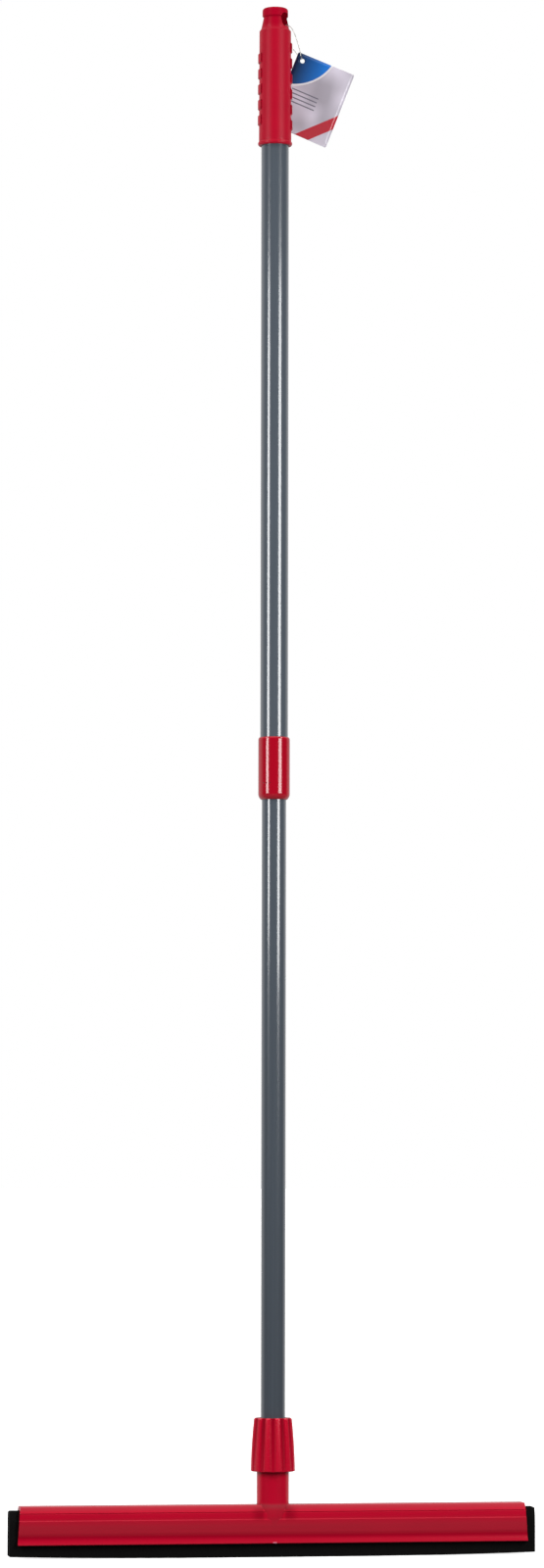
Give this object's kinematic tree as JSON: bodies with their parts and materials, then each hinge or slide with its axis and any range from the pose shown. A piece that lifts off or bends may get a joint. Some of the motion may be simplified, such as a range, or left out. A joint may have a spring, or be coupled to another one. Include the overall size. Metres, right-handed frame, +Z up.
{
  "type": "telescopic floor squeegee",
  "caption": "Telescopic floor squeegee: foam-lipped channel head, fluted clamp nut, sliding twist-lock pole, hand grip with a hang slot and a card on a thread.",
  "frame": {"origin": "on the floor under the axis of the pole, midway along the head", "axes": "+Z up the pole, +X along the head to the right seen from the front, front facing -Y"},
  "size_m": [0.454, 0.0386, 1.34],
  "materials": {
    "head_plastic": "satin",
    "nut_plastic": "satin",
    "collar_plastic": "gloss",
    "grip_plastic": "satin",
    "inner_plastic": "satin",
    "tube_steel": "satin",
    "foam": "matte",
    "card": "satin",
    "thread": "matte"
  },
  "bodies": {
    "head": {"squeegee_head": "head_plastic", "front_foam_lip": "foam", "rear_foam_lip": "foam", "spreader_rail": "inner_plastic"},
    "clamp_ring": {"clamp_ring": "inner_plastic"},
    "clamp_nut": {"clamp_nut": "nut_plastic"},
    "lower_pole": {"lower_tube": "tube_steel", "foot_plug": "inner_plastic", "lock_core": "inner_plastic", "lock_cap": "inner_plastic"},
    "lock_ring": {"lock_ring": "inner_plastic"},
    "upper_pole": {"upper_tube": "tube_steel", "collar": "collar_plastic", "grip": "grip_plastic", "tag_loop": "thread", "tag_knot": "thread"},
    "hang_tag": {"hang_tag": "card"}
  },
  "joints": [
    {"name": "clamp_lift", "type": "slide", "parent": "head", "child": "clamp_ring", "axis": [0, 0, 1], "range_m": [0, 0.006]},
    {"name": "nut_turn", "type": "hinge", "parent": "clamp_ring", "child": "clamp_nut", "pos_m": [0, 0, 0.09525], "axis": [0, 0, 1], "range_deg": [0, 720]},
    {"name": "handle_pull", "type": "slide", "parent": "head", "child": "lower_pole", "axis": [0, 0, 1], "range_m": [0, 0.072]},
    {"name": "twist_lock", "type": "hinge", "parent": "lower_pole", "child": "lock_ring", "pos_m": [0, 0, 0.7073], "axis": [0, 0, 1], "range_deg": [-120, 0]},
    {"name": "telescope_slide", "type": "slide", "parent": "lock_ring", "child": "upper_pole", "axis": [0, 0, 1], "range_m": [-0.51, 0]},
    {"name": "tag_swing", "type": "hinge", "parent": "upper_pole", "child": "hang_tag", "pos_m": [0.02648, 0.0162, 1.29799], "axis": [0, 1, 0], "range_deg": [-40, 25]}
  ],
  "couplings": [
    {"joint": "nut_turn", "follows": "clamp_lift", "rad_per_m": 2094}
  ]
}
